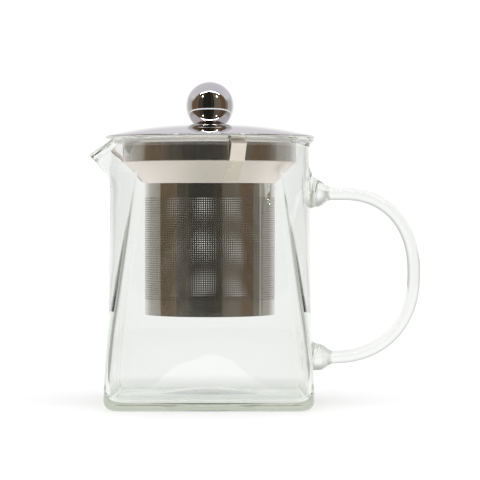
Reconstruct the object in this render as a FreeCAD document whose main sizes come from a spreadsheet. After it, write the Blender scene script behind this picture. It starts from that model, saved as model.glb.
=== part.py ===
import FreeCAD, Part
import math
import os
import re
import Sketcher

# Square-based glass teapot with a lift-out steel infuser and a domed lid.
# The origin is the centre of the base on the table: +Z up, spout towards -X, handle towards +X.

UP = FreeCAD.Vector(0, 0, 1)
FRONT_CLIP_TURN = -72  # degrees about the vertical axis, from the handle's side
THIRD_TURN = 120
FLARE_MIDDLE = (0.27, 0.42)  # the rim flare's arc is this far out, and this far below the rim, at its middle
BOSS_SHARE = 0.62  # a root has its full boss over this last part of its length
SPREAD_POWER = 5  # how close to the wall a root's last spread happens
BURIED_SHARES = (1.6, 1.3)  # root sections that lie inside the wall
ROOT_SHARES = (1, 0.8, 0.6, 0.4, 0.2, 0)  # from the wall to where the rod is plain
BOW_STEP = 10  # degrees between sections of the bow

SIZES = {
    # glass jug
    "body_side": 89.0,  # outside width of the square base
    "body_corner": 9.0,  # corner radius at the table
    "ridge_round": 5.0,  # corner radius where the ridge meets the neck
    "ridge_bend": 41.0,  # below this height the corner ridge curves to upright
    "heel_round": 4.0,  # outside edge under the walls
    "heel_inside": 5.0,
    "glass_wall": 2.0,
    "glass_floor": 3.2,
    "punt_width": 40.0,  # round push-up under the base
    "punt_rise": 3.0,
    "punt_inside_rise": 3.3,
    "neck_width": 86.8,  # outside diameter of the round neck
    "neck_length": 11.6,  # from where the square body has become round up to the rim
    "jug_height": 115.6,  # top of the rim, without the lid
    "rim_flare": 1.8,
    "rim_depth": 2.7,
    # spout, a beak pulled out of the neck
    "spout_throw": 9.4,  # from the neck's wall out to the tip of the lip
    "spout_drop": 17.6,  # from the rim down to where the beak leaves the wall
    "lip_drop": 6.9,
    "lip_spread": 24.5,  # degrees each side of the spout where the rim starts to fall to the lip
    "nose_round": 4.0,
    # solid glass handle
    "handle_throw": 48.3,  # from the neck's wall to the outside of the handle
    "rod_height": 5.6,
    "rod_width": 8.5,
    "handle_drop": 24.2,  # from the rim down to the centre of the top root
    "handle_foot": 20.1,  # from the table up to the centre of the bottom root
    "bow_lift": 1.25,  # how far the widest point lies above the middle of the two roots
    "bow_power": 2.25,  # 2 would be an ellipse, and more is squarer
    "top_straight": 14.0,  # from the wall out to where the bow begins
    "foot_straight": 8.5,
    "root_length": 9.3,
    "boss_height": 11.4,  # each root swells to a boss that runs into the wall
    "boss_width": 12.4,
    "top_root_height": 18.0,  # how tall and wide the fused roots spread on the wall itself
    "top_root_width": 17.0,
    "top_root_lift": 2.4,  # how far a root's centre climbs as it spreads
    "foot_root_height": 13.0,
    "foot_root_width": 13.4,
    "foot_root_lift": 0.6,
    # infuser, turned and welded from sheet
    "flange_inset": 0.7,  # from the outside of the rim in to the flange's edge
    "collar_gap": 3.9,  # between the neck's inside and the collar, where the clips work
    "collar_depth": 10.5,
    "infuser_sheet": 0.5,
    "basket_width": 56.4,
    "basket_length": 56.9,
    "basket_sheet": 0.4,
    "clip_width": 6.6,
    "clip_sheet": 0.45,
    "clip_clearance": 0.3,
    "clip_foot": 1.4,  # the weld lies this far above and outside the funnel's foot
    "clip_tip_gap": 0.7,  # from the collar out to the clip's free end
    "clip_tip_drop": 0.9,  # from the rim down to the free end
    "pressed_drop": 2.8,  # from the rim down to the apex of a clip that presses on the neck
    "relaxed_drop": 5.6,
    "relaxed_bulge": 2.4,  # how far the clip at the spout stands out beyond the neck's inside
    # lid
    "lid_overhang": 0.6,  # how far the lid's edge stands outside the rim
    "lid_edge": 0.8,
    "lid_rise": 4.6,
    "lid_sheet": 0.6,
    "skirt_depth": 8.1,
    "skirt_clearance": 1.3,
    "knob_width": 20.9,
    "knob_seat": 13.2,  # flat where the ball meets the cover
    "screw_width": 4.0,
    "screw_clearance": 0.15,
    "screw_grip": 7.0,  # depth of the blind hole in the knob
    "screw_tip_gap": 0.5,
    "screw_head_width": 8.0,
    "screw_head_height": 2.4,
    "screw_slot": 1.2,
    "washer_width": 12.0,
    "washer_sheet": 0.8,
    "cutter_overrun": 1.0,  # how far a cutter passes through the face it starts from
}

doc = FreeCAD.newDocument("teapot")
sheet = doc.addObject("Spreadsheet::Sheet", "Sizes")
for row, (alias, value) in enumerate(SIZES.items(), start=1):
    sheet.set(f"A{row}", alias)
    sheet.set(f"B{row}", str(value))
    sheet.setAlias(f"B{row}", alias)
doc.recompute()


def from_sheet(text):
    """The expression text with every size name pointed at the spreadsheet."""
    return re.sub(r"[a-z_]+", lambda word: f"Sizes.{word[0]}" if word[0] in SIZES else word[0], text)


def number(text):
    """What an expression comes to now, in millimetres."""
    return float(sheet.evalExpression(from_sheet(text)))


def size(alias):
    """One size as the spreadsheet holds it."""
    return float(sheet.get(alias))


def neck_height():
    """Where the square body has become round."""
    return size("jug_height") - size("neck_length")


# Heights and radii that several pieces share, as expressions on the sheet.
RIM = "jug_height"
FLANGE_TOP = "jug_height + infuser_sheet"
NECK_IN = "neck_width / 2 - glass_wall"
RIM_OUT = "neck_width / 2 + rim_flare"
FLANGE_OUT = f"{RIM_OUT} - flange_inset"
LID_OUT = f"({RIM_OUT} + lid_overhang)"
COLLAR_OUT = f"{NECK_IN} - collar_gap"
COLLAR_IN = f"{COLLAR_OUT} - infuser_sheet"
COLLAR_FOOT = "jug_height - collar_depth"
SKIRT_OUT = f"{COLLAR_IN} - skirt_clearance"
BASKET_OUT = "basket_width / 2"
FUNNEL_FOOT = f"{COLLAR_FOOT} - ({COLLAR_OUT} - {BASKET_OUT})"
BASKET_FOOT = f"{FUNNEL_FOOT} - basket_length"
COVER_TOP = f"{FLANGE_TOP} + lid_edge + lid_rise"
COVER_UNDER = f"{COVER_TOP} - lid_sheet"
WASHER_FOOT = f"{COVER_UNDER} - washer_sheet"
HEAD_FOOT = f"{WASHER_FOOT} - screw_head_height"
DOME_RUN = f"({LID_OUT} - knob_seat / 2)"
DOME_RADIUS = f"({DOME_RUN} ^ 2 + lid_rise ^ 2) / (2 * lid_rise)"


def new_body(label):
    body = doc.addObject("PartDesign::Body", label)
    body.Label = label
    return body


def origin_plane(body, role):
    return next(item for item in body.Origin.OriginFeatures if item.Role == role)


def outline_sketch(body, role, corners, arcs=None):
    """A closed outline on one of the body's planes.

    corners are pairs of expressions. arcs gives, for the side that leaves a corner, the radius as an
    expression and a sign, +1 where the side bulges to the right of its direction and -1 to the left.
    """
    arcs = arcs or {}
    sketch = body.newObject("Sketcher::SketchObject", f"{body.Label}_outline")
    sketch.AttachmentSupport = (origin_plane(body, role), [""])
    sketch.MapMode = "FlatFace"
    places = [FreeCAD.Vector(number(across), number(along), 0) for across, along in corners]
    count = len(places)
    for side, start in enumerate(places):
        end = places[(side + 1) % count]
        if side in arcs:
            radius, sign = number(arcs[side][0]), arcs[side][1]
            run = end - start
            sagitta = radius - math.sqrt(radius ** 2 - (run.Length / 2) ** 2)
            aside = FreeCAD.Vector(run.y, -run.x, 0).normalize() * sagitta * sign
            sketch.addGeometry(Part.Arc(start, (start + end) / 2 + aside, end), False)
        else:
            sketch.addGeometry(Part.LineSegment(start, end), False)

    def end_point(side, where):
        """Which sketch point of a side is nearest to a place, since arcs may run either way round."""
        first = sketch.getPoint(side, 1)
        return 1 if (first - where).Length < 1e-6 else 2

    for side in range(count):
        after = (side + 1) % count
        place = places[after]
        link = (side, end_point(side, place), after, end_point(after, place))
        sketch.addConstraint(Sketcher.Constraint("Coincident", *link))
    for side, (across, along) in enumerate(corners):
        point = end_point(side, places[side])
        for kind, text in (("DistanceX", across), ("DistanceY", along)):
            given = (kind, side, point, number(text))
            index = sketch.addConstraint(Sketcher.Constraint(*given))
            sketch.setExpression(f"Constraints[{index}]", from_sheet(text))
    for side, (radius, _) in arcs.items():
        index = sketch.addConstraint(Sketcher.Constraint("Radius", side, number(radius)))
        sketch.setExpression(f"Constraints[{index}]", from_sheet(radius))
    return sketch


def turned(label, corners, arcs=None):
    """A body turned about the vertical axis from an outline of radius and height."""
    body = new_body(label)
    sketch = outline_sketch(body, "XZ_Plane", corners, arcs)
    turn = body.newObject("PartDesign::Revolution", f"{label}_turn")
    turn.Profile = sketch
    turn.ReferenceAxis = (sketch, ["V_Axis"])
    turn.Angle = 360
    sketch.Visibility = False
    return body


# ---------------------------------------------------------------- infuser

def infuser_flange():
    """Flat ring that rests on the glass rim."""
    turned("infuser_flange", [
        (COLLAR_IN, RIM),
        (FLANGE_OUT, RIM),
        (FLANGE_OUT, FLANGE_TOP),
        (COLLAR_IN, FLANGE_TOP),
    ])


def infuser_collar():
    """Straight tube that hangs in the neck."""
    turned("infuser_collar", [
        (COLLAR_IN, COLLAR_FOOT),
        (COLLAR_OUT, COLLAR_FOOT),
        (COLLAR_OUT, RIM),
        (COLLAR_IN, RIM),
    ])


def infuser_funnel():
    """45 degree cone from the collar in to the strainer."""
    turned("infuser_funnel", [
        (f"{BASKET_OUT} - infuser_sheet", FUNNEL_FOOT),
        (BASKET_OUT, FUNNEL_FOOT),
        (COLLAR_OUT, COLLAR_FOOT),
        (f"{COLLAR_IN} - infuser_sheet / 2", COLLAR_FOOT),
        (f"{BASKET_OUT} - infuser_sheet", f"{FUNNEL_FOOT} + infuser_sheet / 2"),
    ])


def basket_screen():
    """The strainer's tube. Its fine holes are left out of the solid."""
    turned("basket_screen", [
        (f"{BASKET_OUT} - basket_sheet", BASKET_FOOT),
        (BASKET_OUT, BASKET_FOOT),
        (BASKET_OUT, FUNNEL_FOOT),
        (f"{BASKET_OUT} - basket_sheet", FUNNEL_FOOT),
    ])


def basket_floor():
    """The strainer's bottom disc, welded inside the foot of the tube."""
    body = new_body("basket_floor")
    body.Placement.Base = UP * number(BASKET_FOOT)
    body.setExpression(".Placement.Base.z", from_sheet(BASKET_FOOT))
    sketch = body.newObject("Sketcher::SketchObject", "basket_floor_outline")
    sketch.AttachmentSupport = (origin_plane(body, "XY_Plane"), [""])
    sketch.MapMode = "FlatFace"
    radius = f"{BASKET_OUT} - basket_sheet"
    sketch.addGeometry(Part.Circle(FreeCAD.Vector(), UP, number(radius)), False)
    sketch.addConstraint(Sketcher.Constraint("Coincident", 0, 3, -1, 1))
    sketch.addConstraint(Sketcher.Constraint("Radius", 0, number(radius)))
    sketch.setExpression("Constraints[1]", from_sheet(radius))
    pad = body.newObject("PartDesign::Pad", "basket_floor_pad")
    pad.Profile = sketch
    pad.setExpression("Length", from_sheet("basket_sheet"))
    sketch.Visibility = False


def spring_clip(label, turn, apex_radius, apex_height):
    """A bent strip spot-welded under the funnel: it bows out to an apex and comes back to the collar."""
    body = new_body(label)
    slope = "clip_sheet * sqrt(2)"  # how far a 45 degree strip's far face lies below its near one
    foot_radius = f"{BASKET_OUT} + clip_foot"
    foot_height = f"{FUNNEL_FOOT} + clip_foot"
    tip_radius = f"{COLLAR_OUT} + clip_tip_gap"
    tip_height = f"{RIM} - clip_tip_drop"
    sketch = outline_sketch(body, "XZ_Plane", [
        (foot_radius, foot_height),
        (COLLAR_OUT, COLLAR_FOOT),
        (f"{apex_radius} - clip_sheet", apex_height),
        (tip_radius, tip_height),
        (f"{tip_radius} + clip_sheet", f"{tip_height} + clip_sheet / 2"),
        (apex_radius, apex_height),
        (f"{COLLAR_OUT} + clip_sheet", f"{COLLAR_FOOT} - clip_sheet / 4"),
        (foot_radius, f"{foot_height} - {slope}"),
    ])
    pad = body.newObject("PartDesign::Pad", f"{label}_pad")
    pad.Profile = sketch
    pad.Midplane = True
    pad.setExpression("Length", from_sheet("clip_width"))
    sketch.Visibility = False
    body.Placement = FreeCAD.Placement(FreeCAD.Vector(), FreeCAD.Rotation(UP, turn))


def spring_clips():
    """Three clips a third of a turn apart. Two press on the neck and the one at the spout is relaxed."""
    pressed = f"{NECK_IN} - clip_clearance"
    apex = f"{RIM} - pressed_drop"
    spring_clip("spring_clip_front", FRONT_CLIP_TURN, pressed, apex)
    spring_clip("spring_clip_back", FRONT_CLIP_TURN + THIRD_TURN, pressed, apex)
    relaxed = (f"{NECK_IN} + relaxed_bulge", f"{RIM} - relaxed_drop")
    spring_clip("spring_clip_spout", FRONT_CLIP_TURN + 2 * THIRD_TURN, *relaxed)


# ---------------------------------------------------------------- lid

def lid_cover():
    """Thin domed cover with a flat seat for the knob and a turned-down edge."""
    edge = f"{FLANGE_TOP} + lid_edge"
    turned("lid_cover", [
        ("screw_width / 2 + screw_clearance", COVER_TOP),
        ("screw_width / 2 + screw_clearance", COVER_UNDER),
        ("knob_seat / 2", COVER_UNDER),
        (f"{LID_OUT} - lid_sheet", f"{edge} - lid_sheet / 2"),
        (f"{LID_OUT} - lid_sheet", FLANGE_TOP),
        (LID_OUT, FLANGE_TOP),
        (LID_OUT, edge),
        ("knob_seat / 2", COVER_TOP),
    ], {2: (DOME_RADIUS, -1), 6: (DOME_RADIUS, 1)})


def lid_ring():
    """Flat ring that closes the cover's edge and rests on the flange."""
    turned("lid_ring", [
        (f"{SKIRT_OUT} - infuser_sheet", FLANGE_TOP),
        (f"{LID_OUT} - lid_sheet", FLANGE_TOP),
        (f"{LID_OUT} - lid_sheet", f"{FLANGE_TOP} + infuser_sheet"),
        (f"{SKIRT_OUT} - infuser_sheet", f"{FLANGE_TOP} + infuser_sheet"),
    ])


def lid_skirt():
    """Tube under the lid's ring that centres the lid in the collar."""
    turned("lid_skirt", [
        (f"{SKIRT_OUT} - infuser_sheet", f"{FLANGE_TOP} - skirt_depth"),
        (SKIRT_OUT, f"{FLANGE_TOP} - skirt_depth"),
        (SKIRT_OUT, FLANGE_TOP),
        (f"{SKIRT_OUT} - infuser_sheet", FLANGE_TOP),
    ])


def knob_ball():
    """Ball knob with a flat foot on the cover and a blind hole for its screw."""
    radius = "knob_width / 2"
    ball_centre = f"{COVER_TOP} + sqrt((knob_width / 2) ^ 2 - (knob_seat / 2) ^ 2)"
    turned("knob_ball", [
        ("0", f"{COVER_TOP} + screw_grip"),
        ("screw_width / 2", f"{COVER_TOP} + screw_grip"),
        ("screw_width / 2", COVER_TOP),
        ("knob_seat / 2", COVER_TOP),
        (radius, ball_centre),
        ("0", f"{ball_centre} + {radius}"),
    ], {3: (radius, 1), 4: (radius, 1)})


def knob_screw():
    """Slotted screw that comes up through the washer and the cover into the knob."""
    body = turned("knob_screw", [
        ("0", HEAD_FOOT),
        ("screw_head_width / 2", HEAD_FOOT),
        ("screw_head_width / 2", WASHER_FOOT),
        ("screw_width / 2", WASHER_FOOT),
        ("screw_width / 2", f"{COVER_TOP} + screw_grip - screw_tip_gap"),
        ("0", f"{COVER_TOP} + screw_grip - screw_tip_gap"),
    ])
    sketch = outline_sketch(body, "XZ_Plane", [
        ("-screw_slot / 2", f"{HEAD_FOOT} - cutter_overrun"),
        ("screw_slot / 2", f"{HEAD_FOOT} - cutter_overrun"),
        ("screw_slot / 2", f"{HEAD_FOOT} + screw_slot"),
        ("-screw_slot / 2", f"{HEAD_FOOT} + screw_slot"),
    ])
    slot = body.newObject("PartDesign::Pocket", "knob_screw_slot")
    slot.Profile = sketch
    slot.Midplane = True
    slot.setExpression("Length", from_sheet("screw_head_width + 2 * cutter_overrun"))
    sketch.Visibility = False


def knob_washer():
    turned("knob_washer", [
        ("screw_width / 2 + screw_clearance", WASHER_FOOT),
        ("washer_width / 2", WASHER_FOOT),
        ("washer_width / 2", COVER_UNDER),
        ("screw_width / 2 + screw_clearance", COVER_UNDER),
    ])


# ---------------------------------------------------------------- glass
# The square-to-round shell, its beak and the handle are free glass forms. No sketch feature follows
# them, so they are lofts made here from sizes read off the sheet.

def face_distance(height):
    """From the axis to the middle of a side wall."""
    rise = height / neck_height()
    return size("body_side") / 2 + (size("neck_width") - size("body_side")) / 2 * rise


def ridge_distance(height):
    """From the axis to the corner ridge: upright at the table, straight from the bend to the neck."""
    half, corner = size("body_side") / 2, size("body_corner")
    foot = half * math.sqrt(2) - corner * (math.sqrt(2) - 1)
    bend, top = size("ridge_bend"), neck_height()
    lean = (foot - size("neck_width") / 2) / (bend * (2 * top - bend))
    if height < bend:
        return foot - lean * height ** 2
    return foot - lean * bend * (2 * height - bend)


def corner_radius(height):
    rise = height / neck_height()
    return size("body_corner") + (size("ridge_round") - size("body_corner")) * rise


def shell_section(height, inset):
    """A closed wire of four walls and four corners, each an arc tangent to its neighbours."""
    face = face_distance(height) - inset
    ridge = ridge_distance(height) - inset
    radius = corner_radius(height) - inset
    middle = (ridge - radius) / math.sqrt(2)
    shift = middle - face
    if ridge - face < 1e-6:
        # already round: the corner is a short arc of the same circle
        half_corner = math.radians(1.5)
        meet = FreeCAD.Vector(math.cos(math.pi / 4 - half_corner), math.sin(math.pi / 4 - half_corner), 0) * face
    elif abs(shift + radius) < 1e-6:
        meet = FreeCAD.Vector(face, middle, 0)
    else:
        bow = (radius ** 2 - shift ** 2 - middle ** 2) / (2 * (shift + radius))
        away = FreeCAD.Vector(middle - face + bow, middle, 0).normalize()
        meet = FreeCAD.Vector(middle, middle, 0) + away * radius
    straight = abs(meet.x - face) < 1e-6
    edges = []
    for quarter in range(4):
        turn = FreeCAD.Rotation(UP, 90 * quarter)

        def at(x, y):
            return turn.multVec(FreeCAD.Vector(x, y, 0)) + UP * height

        start, end = at(meet.x, -meet.y), at(meet.x, meet.y)
        if straight:
            edges.append(Part.LineSegment(start, end).toShape())
        else:
            edges.append(Part.Arc(start, at(face, 0), end).toShape())
        tip = ridge / math.sqrt(2)
        edges.append(Part.Arc(end, at(tip, tip), at(meet.y, meet.x)).toShape())
    return Part.Wire(edges)


def shell_solid(foot, inset, edge_round):
    """The square-to-round form from a foot height to the neck, with its bottom edge rounded."""
    bend, top = size("ridge_bend"), neck_height()
    steps = [foot, foot + (bend - foot) / 3, foot + (bend - foot) * 2 / 3, bend]
    steps += [bend + (top - bend) * share for share in (0.3, 0.6, 0.85, 1)]
    solid = Part.makeLoft([shell_section(height, inset) for height in steps], True, False)
    bottom = [edge for edge in solid.Edges if abs(edge.BoundBox.ZMax - foot) < 1e-4]
    return solid.makeFillet(edge_round, bottom)


def turned_solid(points):
    """A solid turned about the vertical axis from radius and height pairs; a triple is an arc."""
    edges, here = [], FreeCAD.Vector(points[0][0], 0, points[0][1])
    for point in points[1:] + [points[0]]:
        there = FreeCAD.Vector(point[0], 0, point[1])
        if len(point) == 4:
            middle = FreeCAD.Vector(point[2], 0, point[3])
            edges.append(Part.Arc(here, middle, there).toShape())
        else:
            edges.append(Part.LineSegment(here, there).toShape())
        here = there
    return Part.Face(Part.Wire(edges)).revolve(FreeCAD.Vector(), UP, 360)


def neck_solid(inset, above):
    """The round neck with its flared rim, filled, from the shell's top to the rim and a little above it."""
    radius = size("neck_width") / 2 - inset
    foot, rim = neck_height(), size("jug_height")
    flare, depth = size("rim_flare"), size("rim_depth")
    points = [(0, foot), (radius, foot), (radius, rim - depth)]
    across, down = FLARE_MIDDLE
    points.append((radius + flare, rim, radius + flare * across, rim - depth * down))
    if above > 0:
        points.append((radius + flare, rim + above))
    points.append((0, rim + above))
    return turned_solid(points)


def beak_solid(inset, above):
    """The spout's filled wedge: round at its root, and a tangent nose at the top."""
    radius = size("neck_width") / 2 - inset
    root, top = size("jug_height") - size("spout_drop"), size("jug_height") + above
    lean = size("spout_throw") / (size("spout_drop") - size("lip_drop"))
    reach = size("neck_width") / 2 + lean * (top - root) - inset * math.hypot(1, lean)
    nose = size("nose_round") - inset
    leave = math.acos((radius - nose) / (reach - nose))
    spread = [leave, leave / 3, -leave / 3, -leave]
    low = [FreeCAD.Vector(-radius * math.cos(angle), radius * math.sin(angle), root) for angle in spread]
    middle = FreeCAD.Vector(-(reach - nose), 0, top)

    def on_nose(angle):
        return middle + FreeCAD.Vector(-nose * math.cos(angle), nose * math.sin(angle), 0)

    def on_neck(angle):
        return FreeCAD.Vector(-radius * math.cos(angle), radius * math.sin(angle), top)

    def arc_between(first, last):
        half = (first + last) / 2
        inside = FreeCAD.Vector(-radius * math.cos(half), radius * math.sin(half), root)
        start = FreeCAD.Vector(-radius * math.cos(first), radius * math.sin(first), root)
        end = FreeCAD.Vector(-radius * math.cos(last), radius * math.sin(last), root)
        return Part.Arc(start, inside, end).toShape()

    def line(first, last):
        return Part.LineSegment(first, last).toShape()

    foot_wire = Part.Wire([
        line(UP * root, low[0]),
        arc_between(spread[0], spread[1]),
        arc_between(spread[1], spread[2]),
        arc_between(spread[2], spread[3]),
        line(low[3], UP * root),
    ])
    top_wire = Part.Wire([
        line(UP * top, on_neck(leave)),
        line(on_neck(leave), on_nose(leave)),
        Part.Arc(on_nose(leave), on_nose(0), on_nose(-leave)).toShape(),
        line(on_nose(-leave), on_neck(-leave)),
        line(on_neck(-leave), UP * top),
    ])
    return Part.makeLoft([foot_wire, top_wire], True, True)


def lip_cutter():
    """Everything above the sloping edge that falls from the rim to the lip."""
    neck, rim = size("neck_width") / 2, size("jug_height")
    start, reach = neck * math.cos(math.radians(size("lip_spread"))), neck + size("spout_throw")
    far = 2 * reach
    fall = size("lip_drop") / (reach - start)
    corners = [(-start, rim), (-start, 2 * rim), (-far, 2 * rim), (-far, rim - fall * (far - start))]
    wire = Part.makePolygon([FreeCAD.Vector(x, -reach, z) for x, z in corners + corners[:1]])
    return Part.Face(wire).extrude(FreeCAD.Vector(0, 2 * reach, 0))


def punt_solid(radius, rise, foot):
    """A spherical cap that stands on a height."""
    ball = (radius ** 2 + rise ** 2) / (2 * rise)
    sphere = Part.makeSphere(ball, FreeCAD.Vector(0, 0, foot + rise - ball))
    slab = Part.makeBox(4 * radius, 4 * radius, 2 * rise, FreeCAD.Vector(-2 * radius, -2 * radius, foot))
    return sphere.common(slab)


def jug_outside():
    """The jug as if it were solid, without the spout's cut and the punt."""
    return shell_solid(0, 0, size("heel_round")).fuse([neck_solid(0, 0), beak_solid(0, 0)])


def glass_body(outside):
    """Blown jug: square base, round neck, flared rim, beak spout and a pushed-up base."""
    wall, floor = size("glass_wall"), size("glass_floor")
    cavity = shell_solid(floor, wall, size("heel_inside")).fuse([neck_solid(wall, wall), beak_solid(wall, wall)])
    inner_punt = punt_solid(size("punt_width") / 2 + wall, size("punt_inside_rise"), floor)
    cavity = cavity.cut(inner_punt)
    outer_punt = punt_solid(size("punt_width") / 2, size("punt_rise"), 0)
    shape = outside.cut([cavity, lip_cutter(), outer_punt])
    node = doc.addObject("Part::Feature", "glass_body")
    node.Label = "glass_body"
    node.Shape = shape.Solids[0] if len(shape.Solids) == 1 else shape


def handle_stations():
    """Centre, direction, half height and half width of the handle's sections, from top root to bottom root."""
    rod, wide = size("rod_height") / 2, size("rod_width") / 2
    top, foot = size("jug_height") - size("handle_drop"), size("handle_foot")
    middle = (top + foot) / 2 + size("bow_lift")
    outer = size("neck_width") / 2 + size("handle_throw") - rod
    power = size("bow_power")

    def root(height, name, direction, shares):
        """Sections that swell from the plain rod to a boss and spread on the wall, all facing one way."""
        tall_boss, wide_boss = size("boss_height") / 2, size("boss_width") / 2
        tall_end, wide_end = size(f"{name}_root_height") / 2, size(f"{name}_root_width") / 2
        for share in shares:
            part = min(share / BOSS_SHARE, 1)
            swell = part * part * (3 - 2 * part)
            spread = min(share, 1) ** SPREAD_POWER
            tall = rod + (tall_boss - rod) * swell + (tall_end - tall_boss) * spread
            broad = wide + (wide_boss - wide) * swell + (wide_end - wide_boss) * spread
            reach = face_distance(height) + size("root_length") * (1 - share)
            lift = size(f"{name}_root_lift") * spread
            yield FreeCAD.Vector(reach, 0, height + lift), direction, tall, broad

    def bow(height, name, sign, angles):
        """Sections along a quarter of a squared ellipse."""
        begin = face_distance(height) + size(f"{name}_straight")
        width, span = outer - begin, abs(height - middle)
        for angle in angles:
            across = math.cos(math.radians(angle)) ** (2 / power)
            along = math.sin(math.radians(angle)) ** (2 / power)
            centre = FreeCAD.Vector(begin + width * across, 0, middle + sign * span * along)
            normal_x = across ** (power - 1) / width
            normal_z = sign * along ** (power - 1) / span
            yield centre, math.degrees(math.atan2(-normal_x, normal_z)), rod, wide

    shares = BURIED_SHARES + ROOT_SHARES
    stations = list(root(top, "top", 0, shares))
    stations += bow(top, "top", 1, range(90 - BOW_STEP, -1, -BOW_STEP))
    stations += bow(foot, "foot", -1, range(BOW_STEP, 90, BOW_STEP))
    stations += root(foot, "foot", 180, reversed(shares))
    return stations


def glass_handle(outside):
    """Solid glass ear with flared roots, fused to the jug's wall."""
    wires = []
    for centre, direction, tall, broad in handle_stations():
        angle = math.radians(direction)
        stretch = FreeCAD.Matrix()
        stretch.scale(broad, tall, 1)
        upward = FreeCAD.Vector(-math.sin(angle), 0, math.cos(angle))
        along = FreeCAD.Vector(math.cos(angle), 0, math.sin(angle))
        facing = FreeCAD.Rotation(FreeCAD.Vector(0, 1, 0), upward, along, "YXZ")
        section = Part.makeCircle(1).transformGeometry(stretch)
        section.Placement = FreeCAD.Placement(centre, facing)
        wires.append(Part.Wire([section]))
    shape = Part.makeLoft(wires, True, False).cut(outside)
    node = doc.addObject("Part::Feature", "glass_handle")
    node.Label = "glass_handle"
    node.Shape = max(shape.Solids, key=lambda solid: solid.Volume)


def main():
    outside = jug_outside()
    glass_body(outside)
    glass_handle(outside)
    infuser_flange()
    infuser_collar()
    infuser_funnel()
    basket_screen()
    basket_floor()
    spring_clips()
    lid_cover()
    lid_ring()
    lid_skirt()
    knob_ball()
    knob_screw()
    knob_washer()
    doc.recompute()

    for item in doc.Objects:
        if "Invalid" in item.State or "Error" in item.State:
            raise RuntimeError(f"{item.Label} did not build: {item.State}")
    nodes = [item for item in doc.Objects if item.TypeId in ("PartDesign::Body", "Part::Feature")]
    for node in nodes:
        if node.Shape.isNull() or not node.Shape.isValid():
            raise RuntimeError(f"{node.Label} has no valid shape")
    os.makedirs("parts", exist_ok=True)
    for node in nodes:
        box = node.Shape.optimalBoundingBox(False)
        print(f"{node.Label:20s} {node.Shape.Volume:10.1f} mm3 solids {len(node.Shape.Solids)}"
              f" x {box.XMin:7.2f} {box.XMax:7.2f} y {box.YMin:7.2f} {box.YMax:7.2f}"
              f" z {box.ZMin:7.2f} {box.ZMax:7.2f}")
        node.Shape.exportStep(f"parts/{node.Label}.step")


main()
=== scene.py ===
import math

import bmesh
import bpy
from bpy.props import FloatProperty, FloatVectorProperty, IntProperty, PointerProperty
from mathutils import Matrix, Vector


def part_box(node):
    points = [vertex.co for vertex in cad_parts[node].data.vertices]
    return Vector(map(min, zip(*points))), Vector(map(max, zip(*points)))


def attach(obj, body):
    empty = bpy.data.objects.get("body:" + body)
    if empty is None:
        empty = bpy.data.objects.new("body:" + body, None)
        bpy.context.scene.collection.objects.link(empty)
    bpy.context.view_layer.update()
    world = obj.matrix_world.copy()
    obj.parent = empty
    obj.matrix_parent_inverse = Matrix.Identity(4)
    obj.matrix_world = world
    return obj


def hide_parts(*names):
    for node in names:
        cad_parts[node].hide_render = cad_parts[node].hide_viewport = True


bl_info = {
    "name": "Glass Teapot",
    "version": (1, 0, 0),
    "blender": (4, 5, 0),
    "location": "3D View > Sidebar > Teapot",
    "description": "Square glass teapot with a perforated steel infuser and a domed lid",
    "category": "Object",
}

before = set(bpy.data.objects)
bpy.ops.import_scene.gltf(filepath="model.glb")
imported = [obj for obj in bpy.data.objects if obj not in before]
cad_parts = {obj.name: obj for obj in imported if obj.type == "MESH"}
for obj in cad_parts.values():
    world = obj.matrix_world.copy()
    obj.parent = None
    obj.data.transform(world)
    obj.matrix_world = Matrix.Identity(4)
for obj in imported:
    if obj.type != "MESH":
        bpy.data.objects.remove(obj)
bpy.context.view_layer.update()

MM = 0.001
RIM_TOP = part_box("glass_body")[1].z
SPOUT_TIP = -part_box("glass_body")[0].x
RIM_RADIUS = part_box("glass_body")[1].y
HANDLE_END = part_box("glass_handle")[1].x
FLANGE_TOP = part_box("infuser_collar")[1].z
FLANGE_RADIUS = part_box("infuser_collar")[1].x
BASKET_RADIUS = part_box("basket_screen")[1].x
BASKET_FOOT, BASKET_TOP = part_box("basket_screen")[0].z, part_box("basket_screen")[1].z
LID_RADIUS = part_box("lid_cover")[1].x
COVER_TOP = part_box("lid_cover")[1].z
SKIRT_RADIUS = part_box("lid_skirt")[1].x
SKIRT_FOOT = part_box("lid_skirt")[0].z
KNOB_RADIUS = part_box("knob_ball")[1].x
KNOB_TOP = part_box("knob_ball")[1].z


def length(name, description, millimetres, lowest=0.0):
    """A size property in metres whose default is given in millimetres."""
    return FloatProperty(name=name, description=description, default=millimetres * MM,
                         min=lowest * MM, unit="LENGTH", subtype="DISTANCE", precision=5)


def linear(hex_colour):
    """An sRGB hex colour as linear red, green, blue and alpha."""
    def channel(start):
        """One channel from its two digits, made linear."""
        value = int(hex_colour[start:start + 2], 16) / 255
        return value / 12.92 if value <= 0.04045 else ((value + 0.055) / 1.055) ** 2.4
    return (channel(1), channel(3), channel(5), 1.0)


def colour(name, description, hex_colour):
    """A colour property, shown as sRGB and kept linear."""
    return FloatVectorProperty(name=name, description=description, size=4, subtype="COLOR",
                               min=0.0, max=1.0, default=linear(hex_colour))


# ------------------------------------------------------------------ settings

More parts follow.
